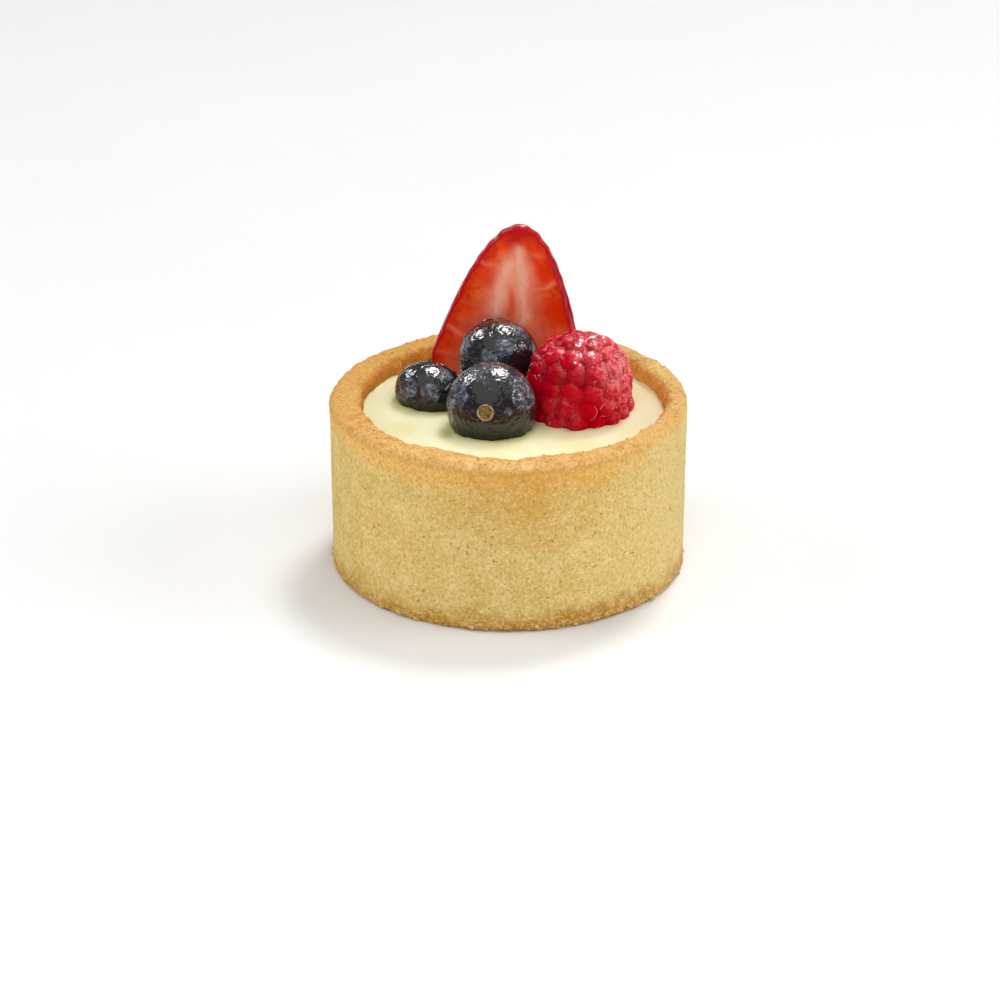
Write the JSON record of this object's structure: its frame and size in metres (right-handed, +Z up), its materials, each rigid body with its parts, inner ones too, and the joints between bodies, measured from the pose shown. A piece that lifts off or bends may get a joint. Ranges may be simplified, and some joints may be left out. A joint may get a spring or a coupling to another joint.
{
  "type": "fruit tart",
  "caption": "Tall round shortcrust tart with straight sides, filled with pale custard and topped with blueberries, a raspberry and an upright strawberry half.",
  "frame": {"origin": "middle of the flat underside of the pastry cup", "axes": "+Z up; the strawberry half's cut face and the blueberry with the stem scar face -Y, the front; +X to the viewer's right"},
  "size_m": [0.07, 0.07, 0.0628],
  "materials": {
    "crust": "matte, sandy baked pastry",
    "custard": "satin, smooth set cream",
    "blueberry": "glazed skin with a pale bloom",
    "raspberry": "glossy drupelets",
    "strawberry": "wet cut flesh and glossy skin"
  },
  "bodies": {
    "root": {"crust": "crust", "custard": "custard", "blueberry_front": "blueberry", "blueberry_left": "blueberry", "blueberry_back": "blueberry", "raspberry": "raspberry", "strawberry_half": "strawberry"}
  },
  "joints": []
}
